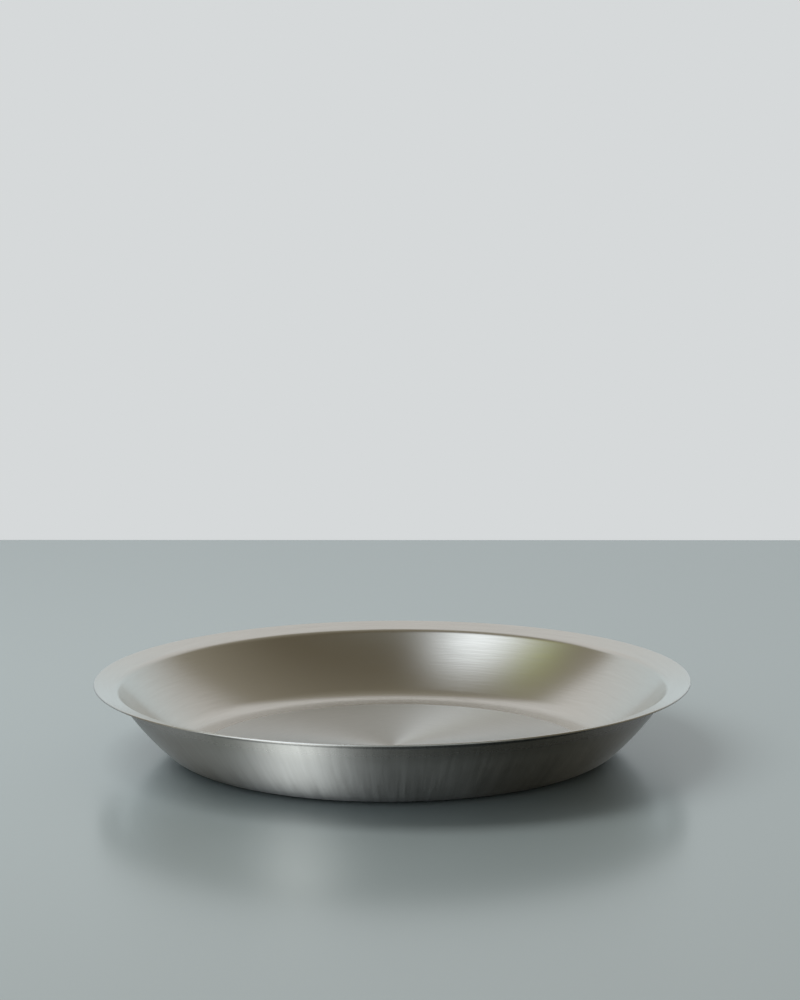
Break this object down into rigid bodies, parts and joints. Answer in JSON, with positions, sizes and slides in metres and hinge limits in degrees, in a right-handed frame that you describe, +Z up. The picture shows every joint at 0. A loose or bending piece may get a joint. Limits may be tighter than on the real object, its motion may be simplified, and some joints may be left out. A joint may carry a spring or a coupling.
{
  "type": "serving tray",
  "caption": "Round shallow serving tray pressed from satin stainless steel sheet, with a flat floor, a corner bend, a sloping wall that curves up slightly and a flat rim tilted up to a plain cut edge.",
  "frame": {"origin": "centre of the flat foot, on the surface that the tray stands on", "axes": "+Z up along the axis of revolution; X and Y lie in the table plane and are free, because the tray is round"},
  "size_m": [0.24, 0.24, 0.0305],
  "materials": {
    "stainless_sheet": "satin, fine lines round the axis inside, soft drawing streaks outside"
  },
  "bodies": {
    "root": {"tray": "stainless_sheet"}
  },
  "joints": []
}
